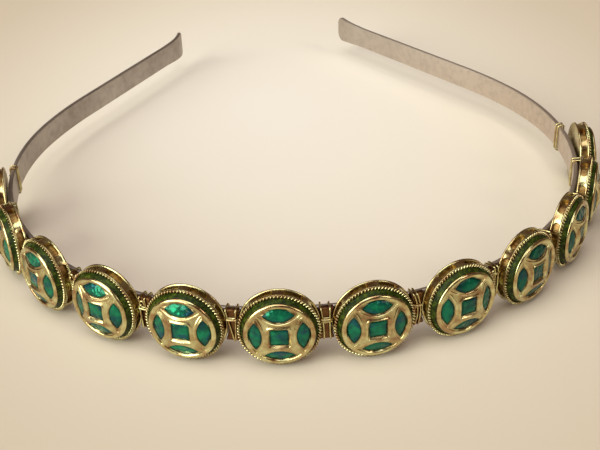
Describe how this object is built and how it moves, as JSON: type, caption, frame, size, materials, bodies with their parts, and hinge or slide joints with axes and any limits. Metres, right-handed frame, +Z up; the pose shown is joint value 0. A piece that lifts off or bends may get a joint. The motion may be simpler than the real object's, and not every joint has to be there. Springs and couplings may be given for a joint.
{
  "type": "jewelled headband",
  "caption": "Springy steel headband with a row of round gilt medallions, each with a green enamel ring and green stones under a pierced dome, bound on with gilt wire.",
  "frame": {"origin": "on the surface the headband lies on, under the middle of its bounding box", "axes": "+Z up from the surface, across the strip's width; +Y from the jewelled crown of the band towards its two open ends; +X across the band, to the right when the medallions are seen from the front"},
  "size_m": [0.1414, 0.158, 0.0156],
  "materials": {
    "steel": "satin",
    "gilt_metal": "polished gilt",
    "green_enamel": "glossy",
    "green_stone": "cut and polished"
  },
  "bodies": {
    "root": {"band": "steel", "setting_01": "gilt_metal", "enamel_01": "green_enamel", "stones_01": "green_stone", "setting_02": "gilt_metal", "enamel_02": "green_enamel", "stones_02": "green_stone", "setting_03": "gilt_metal", "enamel_03": "green_enamel", "stones_03": "green_stone", "setting_04": "gilt_metal", "enamel_04": "green_enamel", "stones_04": "green_stone", "setting_05": "gilt_metal", "enamel_05": "green_enamel", "stones_05": "green_stone", "setting_06": "gilt_metal", "enamel_06": "green_enamel", "stones_06": "green_stone", "setting_07": "gilt_metal", "enamel_07": "green_enamel", "stones_07": "green_stone", "setting_08": "gilt_metal", "enamel_08": "green_enamel", "stones_08": "green_stone", "setting_09": "gilt_metal", "enamel_09": "green_enamel", "stones_09": "green_stone", "setting_10": "gilt_metal", "enamel_10": "green_enamel", "stones_10": "green_stone", "setting_11": "gilt_metal", "enamel_11": "green_enamel", "stones_11": "green_stone", "setting_12": "gilt_metal", "enamel_12": "green_enamel", "stones_12": "green_stone", "wire_wrap_01": "gilt_metal", "wire_wrap_02": "gilt_metal", "wire_wrap_03": "gilt_metal", "wire_wrap_04": "gilt_metal", "wire_wrap_05": "gilt_metal", "wire_wrap_06": "gilt_metal", "wire_wrap_07": "gilt_metal", "wire_wrap_08": "gilt_metal", "wire_wrap_09": "gilt_metal", "wire_wrap_10": "gilt_metal", "wire_wrap_11": "gilt_metal", "wire_wrap_12": "gilt_metal", "wire_wrap_13": "gilt_metal"}
  },
  "joints": []
}
